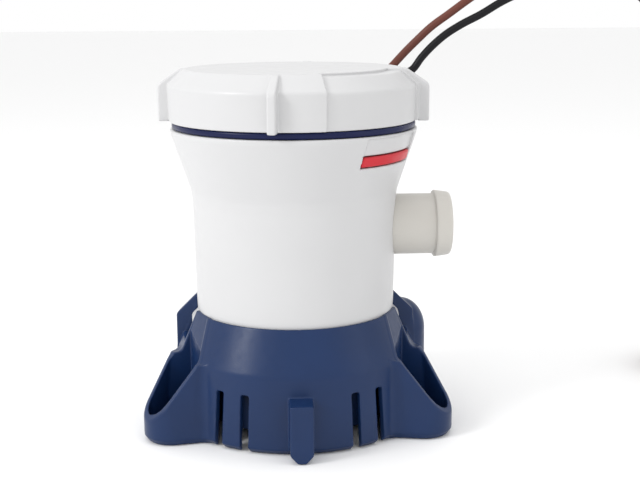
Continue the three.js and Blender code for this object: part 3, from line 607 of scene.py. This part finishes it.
def base_shell(r, z, behind):
    """Outer skin of the base without its ears, and the cavity inside it."""
    lean = (WALL_BOTTOM_R - WALL_TOP_R) / WALL_TOP_Z
    foot = (r - (WALL_BOTTOM_R - FOOT_CHAMFER) - z) * 0.7071
    wall = r - WALL_BOTTOM_R + lean * z
    run, rise = WALL_TOP_R - COLLAR_R, COLLAR_TOP_Z - WALL_TOP_Z
    slope = math.hypot(run, rise)
    cone = ((r - WALL_TOP_R) * rise + (z - WALL_TOP_Z) * run) / slope
    front = np.maximum(smax(wall, cone, 0.35), z - COLLAR_TOP_Z)
    shoulder = ((r - SHROUD_R) + (z - SHROUD_SHOULDER_Z)) * 0.7071
    shroud = r - SHROUD_R - np.maximum(WALL_TOP_Z - z, 0) * 0.048
    rear = smax(smax(shroud, shoulder, 0.5), z - SHROUD_TOP_Z, 0.4)
    outer = smin(front, smax(rear, -behind, 0.4), 0.4)
    outer = smax(smax(outer, foot, 0.3), -z, 0.3)

    cone_in = ((r - WALL_TOP_R + BASE_WALL) * rise + (z - WALL_TOP_Z) * run) / slope
    cavity = np.maximum(wall + BASE_WALL, cone_in)
    cavity_rear = np.maximum(np.maximum(shroud, shoulder) + BASE_WALL, BASE_WALL - behind)
    return outer, np.minimum(np.minimum(cavity, cavity_rear), r - COLLAR_BORE_R)


def ear(s, t, z):
    """Distance fields of one ear: its body, its pocket and its screw hole."""
    side = ear_side(s, t, z)
    body = side + 0.7 * np.maximum(FOOT_CHAMFER - z, 0)
    body = smax(smax(body, ear_rim(s, z), 0.45), z - EAR_ROOT_Z, 0.4)
    body = np.maximum(smax(body, -z, 0.3), 30 - s)
    hole = np.minimum(np.hypot(s - SCREW_REACH, t) - SCREW_HOLE_R, 9)
    hole = hole + np.maximum(z - EAR_FLOOR - 1, 0)
    return body, ear_pocket(s, t, z, side), hole


def front_tab(x, y, z):
    """Distance field of the tab on the front, with its chamfered foot."""
    half = np.abs(x)
    foot = (half + 0.92 * (2.4 - z) - TAB_HALF_WIDTH) * 0.736
    tab = smax(half - TAB_HALF_WIDTH, z - TAB_TOP_Z, 0.5)
    tab = smax(smax(tab, -y - TAB_REACH, 0.6), foot, 0.4)
    return np.maximum(smax(tab, -z, 0.4), y + 37)


def clip(x, y, z, r):
    """Distance fields of the domed clip at the right, and of the hollow in it."""
    along, across = outward(x, y, CLIP_AZIMUTH), sector(x, y, CLIP_AZIMUTH)
    stem = np.hypot(along - CLIP_REACH, across)
    rise = np.maximum(z - CLIP_DOME_Z, 0) / CLIP_DOME_HEIGHT
    dome = np.sqrt((stem / CLIP_R) ** 2 + rise**2) * CLIP_R - CLIP_R
    body = smax(dome, COLLAR_BORE_R + 0.2 - r, 0.4)
    return np.maximum(body, -z), np.maximum(dome + CLIP_WALL, 33.3 - r)


def skirt_and_webs(x, y, z, r):
    """Distance field of the ring inside the slots and the webs that carry it."""
    half_wall = SKIRT_WALL / 2
    middle, half = (SKIRT_HIGH_Z + SKIRT_LOW_Z) / 2, (SKIRT_HIGH_Z - SKIRT_LOW_Z) / 2
    ring = np.abs(r - SKIRT_R + half_wall) - half_wall
    skirt = np.maximum(ring, np.abs(z - middle) - half)
    webs = np.full(r.shape, FAR_AWAY, r.dtype)
    for azimuth in WEB_AZIMUTHS:
        web = block(x, y, azimuth, SKIRT_R - half_wall, WALL_TOP_R - 1, 0.8)
        webs = np.minimum(webs, web)
    middle, half = (SKIRT_HIGH_Z + WEB_LOW_Z) / 2, (SKIRT_HIGH_Z - WEB_LOW_Z) / 2
    return np.minimum(skirt, np.maximum(webs, np.abs(z - middle) - half))


def base_field(x, y, z):
    r = np.hypot(x, y)
    ax = np.abs(x)
    outer, cavity = base_shell(r, z, sector(ax, y, SHROUD_FROM))
    front_ears = ear(outward(ax, y, EAR_AZIMUTH), sector(ax, y, EAR_AZIMUTH), z)
    rear_ear = ear(outward(x, y, 180), sector(x, y, 180), z)
    ears, pockets, holes = (np.minimum(a, b) for a, b in zip(front_ears, rear_ear))
    joined = smin(outer, ears, 1.6)
    base = smax(joined, -cavity, 0.3)
    base = smin(base, smax(joined, pockets - EAR_WALL, 0.3), 0.3)
    base = smax(base, -pockets, 0.35)
    base = smax(base, -holes, 0.2)
    base = smin(base, front_tab(x, y, z), 0.7)

    slots = np.full(r.shape, FAR_AWAY, r.dtype)
    for azimuth in SLOT_AZIMUTHS:
        slots = np.minimum(slots, block(ax, y, azimuth, 33, 44, SLOT_HALF_WIDTH))
    base = smax(base, -smax(slots, z - SLOT_TOP_Z, 0.8), 0.4)

    notch = np.maximum(-sector(ax, y, NOTCH_FROM), sector(ax, y, SHROUD_FROM))
    base = smax(base, -np.maximum(notch, NOTCH_FLOOR_Z - z), 0.35)

    clip_body, clip_hollow = clip(x, y, z, r)
    base = np.maximum(smin(base, clip_body, 0.9), -clip_hollow)
    return smin(base, skirt_and_webs(x, y, z, r), 0.3)


BASE_LOW, BASE_HIGH = (-47.6, -47, -1), (47.6, 53.5, 40.4)
base = add_moulding("strainer_base_moulding", base_field, BASE_LOW, BASE_HIGH, 0.4, 0.2, 0.3)
finish_with(base, "navy_plastic", "pump_body", "strainer_base")

# ---------------------------------------------------------------- pump housing

OUTLET_Z = 61.4
HOUSING_TOP_Z = 92.6
LOCK_AZIMUTH = 52
LOCK_HALF_WIDTH = 12.4
LOCK_LOW_Z = 83.6
LOCK_HIGH_Z = 86.6
SPRING_Z = 84.0
LOCK_GAP = 0.3
SEAT_R = 27.2
HOUSING_WALL = 2.0
MOUTH_R = 33.2
INLET_EYE_R = 8.0
LUG_AZIMUTHS = (86, -86)

housing_z = np.linspace(18, 94, 381)
housing_r = np.interp(
    housing_z,
    (18, 21.5, 35.5, 37.5, 70, 73.5, 77.8, 91.6, 94),
    (29.5, 30.5, 30.8, 31.0, 31.6, 32.0, 33.4, 38.0, 38.15),
)
blur = np.exp(-np.linspace(-2.2, 2.2, 23) ** 2)
padded = np.pad(housing_r, 11, mode="edge")
housing_r = np.convolve(padded, blur / blur.sum(), mode="valid")


def outer_r(z):
    """Outer radius of the pump housing at a height."""
    return np.interp(z, housing_z, housing_r)


def housing_field(x, y, z):
    r = np.hypot(x, y)
    skin = (r - outer_r(z)) * 0.96
    outer = smax(smax(skin, z - HOUSING_TOP_Z, 0.5), 20 - z, 1.2)
    inner = np.maximum(np.maximum(skin + HOUSING_WALL, 22 - z), z - HOUSING_TOP_Z + HOUSING_WALL)
    mouth = np.maximum(r - MOUTH_R, 85 - z)
    eye = np.maximum(r - INLET_EYE_R, z - 30)
    body = smax(outer, -inner, 0.3)
    body = smax(smax(body, -mouth, 0.25), -eye, 0.3)
    for azimuth in (30, 150, 270):
        inside = np.maximum(block(x, y, azimuth, 20, 40, 9.2), r - 34.6)
        body = np.maximum(body, -np.maximum(inside, 90 - z))
    hole = np.maximum(np.hypot(y, z - OUTLET_Z) - 9.8, 20 - x)
    body = smax(body, -hole, 0.35)
    lock = block(x, y, LOCK_AZIMUTH, 20, 60, LOCK_HALF_WIDTH + LOCK_GAP)
    lock_middle, lock_half = (LOCK_LOW_Z + LOCK_HIGH_Z) / 2, (LOCK_HIGH_Z - LOCK_LOW_Z) / 2
    window = np.maximum(lock, np.abs(z - lock_middle) - lock_half - LOCK_GAP)
    recess = np.maximum(np.maximum(lock, -(skin + 0.7)), np.maximum(LOCK_HIGH_Z - z, z - 91.9))
    body = smax(smax(body, -window, 0.3), -recess, 0.3)
    seat = block(x, y, LOCK_AZIMUTH, SEAT_R - 1.2, 32.4, 2.5)
    seat = np.maximum(seat, np.abs(z - 79.75) - 0.75)
    post = block(x, y, LOCK_AZIMUTH, SEAT_R - 1.2, SEAT_R, 2.5)
    post = np.maximum(post, np.abs(z - 82.3) - 3.3)
    body = np.minimum(body, np.minimum(seat, post))
    for azimuth in LUG_AZIMUTHS:
        lug = block(x, y, azimuth, 29.9, 32.8, 3.0)
        lug = smax(lug, np.abs(z - 31.6) - 4.0, 0.8)
        lug = smax(lug, (outward(x, y, azimuth) - 30.6 + (z - 35.6)) * 0.7, 0.5)
        body = smin(body, lug, 0.4)
    return body


SHELL_LOW, SHELL_HIGH = (-39.5, -39.5, 19), (39.5, 39.5, 94)
housing = add_moulding(
    "pump_housing_moulding", housing_field, SHELL_LOW, SHELL_HIGH, 0.55, 0.22, 0.3
)
finish_with(housing, "white_plastic", "pump_body", "pump_housing")

# ---------------------------------------------------------------- hose outlet

OUTLET_R = 9.525
OUTLET_BORE_R = 7.9
OUTLET_TUBE_END = 43.6
OUTLET_END = 48.7
BARB_R = 10.6
BARB_TAPER = 0.14
OUTLET_ROOT = 25.2


def outlet_field(x, y, z):
    across = np.hypot(y, z - OUTLET_Z)
    tube = np.maximum(smax(across - OUTLET_R, x - OUTLET_END, 0.5), OUTLET_ROOT - x)
    taper = across - BARB_R + (x - OUTLET_TUBE_END) * BARB_TAPER
    barb = smax(smax(taper, OUTLET_TUBE_END - x, 0.7), x - OUTLET_END, 0.9)
    collar = np.maximum(np.maximum(across - 12.4, np.hypot(x, y) - 28.8), OUTLET_ROOT - x)
    body = smin(np.minimum(tube, collar), barb, 0.5)
    return smax(body, OUTLET_BORE_R - across, 0.5)


outlet = add_moulding(
    "outlet_nozzle_moulding", outlet_field, (24, -13.5, 48), (50, 13.5, 75), 0.35, 0.25, 0.4
)
# the outlet gets the white plastic with painted shade in its colour
finish_with(outlet, "outlet_plastic", "pump_body", "outlet_nozzle")

# ---------------------------------------------------------------- lock tab

LOCK_POST_R = 0.85


def lock_field(x, y, z):
    r = np.hypot(x, y)
    out = outward(x, y, LOCK_AZIMUTH)
    across = sector(x, y, LOCK_AZIMUTH)
    face = r - outer_r(np.clip(z, LOCK_LOW_Z, LOCK_HIGH_Z)) - 0.05
    bar = smax(face, np.abs(across) - LOCK_HALF_WIDTH, 0.5)
    bar = smax(bar, z - LOCK_HIGH_Z, 0.9)
    bar = smax(bar, LOCK_LOW_Z - z, 0.5)
    bar = np.maximum(bar, MOUTH_R - r)
    post = np.hypot(across, z - SPRING_Z) - LOCK_POST_R
    post = np.maximum(post, np.maximum(29.5 - out, out - 34))
    return np.minimum(bar, post)


lock = add_moulding("lock_tab_moulding", lock_field, (13, -38, 82), (39, -9, 87.5), 0.25, 0.2, 0.4)
finish_with(lock, "red_plastic", "lock_tab_slide", "lock_tab")

# ---------------------------------------------------------------- cap

CAP_LOW_Z = 94.8
CAP_LOW_R = 38.2
CAP_SHOULDER_Z = 105.8
CAP_SHOULDER_R = 38.6
CAP_DISC_R = 33.2
CAP_TOP_Z = 110.6
CAP_WALL = 2.2
RIB_AZIMUTHS = (-93, -10.6, 83, 170)
RIB_R = 41.7
RIB_HALF_WIDTH = 1.3
PANEL_FROM = 12.3
PANEL_TO = 78
PANEL_DEPTH = 0.85
PANEL_IN_R = 28.8
PLUG_R = 32.8
PLUG_LOW_Z = 87.6
LUG_R = 34.3
BOSS_R = 6.4
BOSS_TAPER = 0.095
BOSS_BORE_R = 4.4


def cap_skin(r, z):
    """Distance of the cap's outer surface: side, chamfered shoulder and top."""
    flare = (CAP_SHOULDER_R - CAP_LOW_R) / (CAP_SHOULDER_Z - CAP_LOW_Z)
    side = r - CAP_LOW_R - (z - CAP_LOW_Z) * flare
    run, rise = CAP_SHOULDER_R - CAP_DISC_R, CAP_TOP_Z - CAP_SHOULDER_Z
    shoulder = ((r - CAP_SHOULDER_R) * rise + (z - CAP_SHOULDER_Z) * run) / math.hypot(run, rise)
    return smax(smax(side, shoulder, 0.6), z - CAP_TOP_Z, 0.25)


def gland_axes(x, y, z):
    """Distance along the gland's axis, across it level, and across it upright."""
    out = outward(x, y, math.degrees(GLAND_AZIMUTH)) - GLAND_R
    up = z - GLAND_Z
    along = out * math.cos(GLAND_TILT) + up * math.sin(GLAND_TILT)
    upright = up * math.cos(GLAND_TILT) - out * math.sin(GLAND_TILT)
    return along, sector(x, y, math.degrees(GLAND_AZIMUTH)), upright


def cap_field(x, y, z):
    r = np.hypot(x, y)
    skin = cap_skin(r, z)
    outer = smax(skin, CAP_LOW_Z - z, 0.5)
    in_panel = np.maximum(-sector(x, y, PANEL_FROM), sector(x, y, PANEL_TO))
    panel = np.maximum(np.maximum(in_panel, -(skin + PANEL_DEPTH)), PANEL_IN_R - r)
    outer = smax(outer, -panel, 0.3)
    hollow = np.maximum(skin + CAP_WALL, PLUG_R - r)
    hollow = np.maximum(hollow, z - CAP_TOP_Z + CAP_WALL + 1.2)
    body = np.maximum(outer, -hollow)
    rib_shoulder = ((r - RIB_R) * 4.8 + (z - CAP_SHOULDER_Z) * 7.1) / 8.57
    rib_skin = smax(r - RIB_R, rib_shoulder, 1.0)
    rib_skin = smax(rib_skin, z - CAP_TOP_Z, 0.4)
    for azimuth in RIB_AZIMUTHS:
        rib = smax(rib_skin, np.abs(sector(x, y, azimuth)) - RIB_HALF_WIDTH, 0.6)
        rib = smax(rib, CAP_LOW_Z - 0.3 - z, 0.5)
        clear_of_seal = np.where(z < CAP_LOW_Z, 38.4 - r, -9)
        rib = np.maximum(rib, np.maximum(32.4 - outward(x, y, azimuth), clear_of_seal))
        body = smin(body, np.maximum(rib, -(skin + 1.5)), 0.5)
    plug = np.maximum(np.maximum(np.abs(r - PLUG_R + 1) - 1, PLUG_LOW_Z - z), z - CAP_TOP_Z + 1)
    body = np.minimum(body, plug)
    for azimuth in (0, 120, 240):
        lug = np.maximum(block(x, y, azimuth, 20, 40, 7), np.maximum(r - LUG_R, PLUG_R - 1 - r))
        body = np.minimum(body, np.maximum(lug, np.abs(z - 89.0) - 1.2))
    along, level, upright = gland_axes(x, y, z)
    off_axis = np.hypot(level, upright)
    boss = smax(off_axis - BOSS_R + BOSS_TAPER * (along + 3), along - 4.4, 0.6)
    boss = np.maximum(boss, -3 - along)
    body = smin(body, boss, 0.8)
    body = smax(body, -np.maximum(off_axis - BOSS_BORE_R, -14 - along), 0.3)
    chamber = np.maximum(r - PLUG_R + 2, z - CAP_TOP_Z + CAP_WALL)
    return np.maximum(body, -chamber)


cap = add_moulding("twist_cap_moulding", cap_field, (-43, -43, 87), (43, 43, 112), 0.42, 0.22, 0.3)
finish_with(cap, "cap_plastic", "cartridge", "twist_cap")


def add_turned(name, outline, segments):
    """Ring turned about Z from a closed outline of (radius, height) points."""
    vertices, faces = [], []
    count = len(outline)
    for i in range(segments):
        a = 2 * math.pi * i / segments
        vertices += [(r * math.cos(a), r * math.sin(a), z) for r, z in outline]
        for j in range(count):
            here, there = i * count, ((i + 1) % segments) * count
            k = (j + 1) % count
            faces.append((here + j, there + j, there + k, here + k))
    return add_mesh(name, vertices, faces)


def rounded_section(inner, outer, low, high, radius, steps=6):
    """Outline of a ring's section with round corners, anticlockwise."""
    outline = []
    corners = ((outer, low, -90), (outer, high, 0), (inner, high, 90), (inner, low, 180))
    for r, z, start in corners:
        centre_r = r - radius if r == outer else r + radius
        centre_z = z + radius if z == low else z - radius
        for i in range(steps + 1):
            a = math.radians(start + 90 * i / steps)
            outline.append((centre_r + radius * math.cos(a), centre_z + radius * math.sin(a)))
    return outline


ring_section = rounded_section(33.4, 37.5, HOUSING_TOP_Z + 0.15, CAP_LOW_Z - 0.15, 0.7)
seal_ring = add_turned("cap_seal_ring_moulding", ring_section, 180)
finish_with(seal_ring, "seal_rubber", "cartridge", "cap_seal_ring")

# ---------------------------------------------------------------- lead gland


def gland_field(x, y, z):
    along, level, upright = gland_axes(x, y, z)
    off_axis = np.hypot(level, upright)
    stem = smax(off_axis - 4.1 + 0.038 * (along + 3), along - 7.5, 0.8)
    stem = np.maximum(stem, -3 - along)
    collar = smax(off_axis - 5.2, np.abs(along - 5.3) - 0.6, 0.4)
    body = smin(stem, collar, 0.4)
    for side in (-1, 1):
        bore = np.hypot(level - side * LEAD_OFFSET, upright) - LEAD_DIAMETER / 2 - 0.12
        body = smax(body, -bore, 0.2)
    return body


gland = add_moulding(
    "lead_gland_moulding", gland_field, (19, 18, 93), (41, 39, 112), 0.25, 0.2, 0.35
)
finish_with(gland, "black_rubber", "cartridge", "lead_gland")

add_lead("black", -1, BLACK_ROUTE, (143.0, -4.0))
add_lead("brown", 1, BROWN_ROUTE, (146.5, 37.0))

# ---------------------------------------------------------------- carried-over nodes

NODE_FINISHES = {
    "lock_tab_spring": "spring_steel",
    "motor_housing": "grey_plastic",
    "end_bell": "grey_plastic",
    "shaft_seal": "black_rubber",
    "lower_bush": "bronze",
    "upper_bush": "bronze",
    "field_ring": "steel",
    "magnet_left": "ferrite",
    "magnet_right": "ferrite",
    "brush_front": "carbon",
    "brush_rear": "carbon",
    "brush_arm_front": "copper",
    "brush_arm_rear": "copper",
    "motor_shaft": "spring_steel",
    "armature_core": "steel",
    "armature_winding": "copper",
    "commutator": "copper",
    "impeller": "impeller_plastic",
}
for node, slot in NODE_FINISHES.items():
    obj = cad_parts[node]
    obj.data.materials.clear()
    obj.data.materials.append(FINISHES[slot])

# ---------------------------------------------------------------- floor and light


def add_floor():
    """Plain pale floor."""
    material, *_ = new_material("floor", (0.93, 0.93, 0.93), 0.8)
    half, level = 4000, -0.2
    corners = [(x * half, y * half, level) for x, y in ((-1, -1), (1, -1), (1, 1), (-1, 1))]
    floor = add_mesh("floor", corners, [(0, 1, 2, 3)])
    floor.data.materials.append(material)


def add_world(level):
    """Even, soft surroundings."""
    world = bpy.data.worlds.new("studio")
    bpy.context.scene.world = world
    world.use_nodes = True
    background = world.node_tree.nodes["Background"]
    background.inputs["Color"].default_value = (1, 1, 1, 1)
    background.inputs["Strength"].default_value = level


def add_area(name, place, width, height, power):
    """Soft box at a place, in metres, turned to the middle of the pump."""
    data = bpy.data.lights.new(name, "AREA")
    data.shape = "RECTANGLE"
    data.size, data.size_y = width, height
    data.energy = power
    lamp = bpy.data.objects.new(name, data)
    lamp.location = place
    direction = Vector(MIDDLE) - Vector(place)
    lamp.rotation_euler = direction.to_track_quat("-Z", "Y").to_euler()
    bpy.context.scene.collection.objects.link(lamp)


MIDDLE = (0, 0, 0.055)
add_floor()
bpy.context.scene.view_settings.view_transform = "Standard"
add_world(1.0)
add_area("key", (-0.62, -0.34, 0.46), 0.2, 0.3, 2.6)
add_area("fill", (0.65, -0.3, 0.25), 0.3, 0.6, 0.35)
add_area("top", (0.0, 0.0, 0.8), 0.6, 0.6, 1.0)
